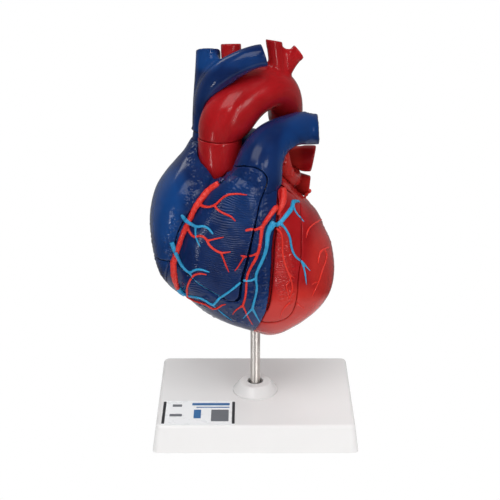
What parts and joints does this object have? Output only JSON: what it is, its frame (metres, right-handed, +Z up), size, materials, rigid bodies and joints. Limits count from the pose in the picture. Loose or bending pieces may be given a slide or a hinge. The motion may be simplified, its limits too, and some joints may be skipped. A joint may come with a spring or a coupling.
{
  "type": "human heart anatomy model on a stand",
  "caption": "Life-size human heart teaching model with lift-off chamber walls and upper vessels, carried on a swivelling rod in a low rectangular base.",
  "frame": {"origin": "centre of the base's underside, on the axis of the support rod", "axes": "+Z up along the rod, -Y to the front (sternal) side that the picture shows, +X to the viewer's right, which is the heart's own left side"},
  "size_m": [0.1666, 0.13, 0.3207],
  "materials": {
    "base_white": "glossy white moulded plastic",
    "cover_white": "matt white moulded plastic",
    "grip_rubber": "soft black rubber",
    "screw_steel": "zinc-plated steel",
    "bush_nylon": "dark nylon",
    "rod_chrome": "polished chrome",
    "collar_steel": "turned steel",
    "ring_steel": "spring steel",
    "socket_plastic": "pale moulded plastic",
    "venous_blue": "glossy painted vinyl, navy blue",
    "arterial_red": "glossy painted vinyl, deep red",
    "valve_cream": "satin painted vinyl, cream",
    "muscle_pink": "satin painted vinyl, muscle pink",
    "cord_ivory": "ivory moulded plastic",
    "coronary_red": "glossy painted vinyl, bright red",
    "cardiac_blue": "glossy painted vinyl, light blue"
  },
  "bodies": {
    "stand": {"stand_base": "base_white", "rod_boss": "base_white", "base_cover": "cover_white", "grip_pads": "grip_rubber", "cover_screws": "screw_steel", "rod_bush": "bush_nylon"},
    "rod": {"stand_rod": "rod_chrome", "rod_collar": "collar_steel", "retaining_ring": "ring_steel"},
    "heart": {"rod_socket": "socket_plastic", "right_ventricle": "venous_blue", "left_ventricle": "arterial_red", "right_atrium": "venous_blue", "left_atrium": "arterial_red", "aortic_root": "arterial_red", "pulmonary_trunk": "venous_blue", "right_pulmonary_artery": "venous_blue", "superior_vena_cava_root": "venous_blue", "inferior_vena_cava": "venous_blue", "pulmonary_veins": "arterial_red", "aortic_valve": "valve_cream", "pulmonary_valve": "valve_cream", "tricuspid_valve": "valve_cream", "mitral_valve": "valve_cream", "right_papillary_muscles": "muscle_pink", "left_papillary_muscles": "muscle_pink", "right_tendinous_cords": "cord_ivory", "left_tendinous_cords": "cord_ivory", "anterior_descending_artery": "coronary_red", "great_cardiac_vein": "cardiac_blue", "posterior_descending_artery": "coronary_red", "coronary_sinus": "cardiac_blue", "middle_cardiac_vein": "cardiac_blue"},
    "right_ventricle_cover": {"right_ventricle_wall": "venous_blue", "right_coronary_artery": "coronary_red"},
    "left_ventricle_cover": {"left_ventricle_wall": "arterial_red", "circumflex_artery": "coronary_red", "anterior_left_vein": "cardiac_blue"},
    "right_atrium_cover": {"right_atrium_wall": "venous_blue"},
    "upper_vessels": {"aortic_arch": "arterial_red", "superior_vena_cava": "venous_blue"}
  },
  "joints": [
    {"name": "rod_swivel", "type": "hinge", "parent": "stand", "child": "rod", "pos_m": [0, 0, 0], "axis": [0, 0, 1], "continuous": true},
    {"name": "heart_lift", "type": "slide", "parent": "rod", "child": "heart", "axis": [0, 0, 1], "range_m": [0, 0.06]},
    {"name": "right_ventricle_cover_off", "type": "slide", "parent": "heart", "child": "right_ventricle_cover", "axis": [0, -1, 0], "range_m": [0, 0.08]},
    {"name": "left_ventricle_cover_off", "type": "slide", "parent": "heart", "child": "left_ventricle_cover", "axis": [0.3712, -0.9286, 0], "range_m": [0, 0.08]},
    {"name": "right_atrium_cover_off", "type": "slide", "parent": "heart", "child": "right_atrium_cover", "axis": [-0.8, -0.6, 0], "range_m": [0, 0.08]},
    {"name": "upper_vessels_lift", "type": "slide", "parent": "heart", "child": "upper_vessels", "axis": [0, 0, 1], "range_m": [0, 0.08]}
  ]
}
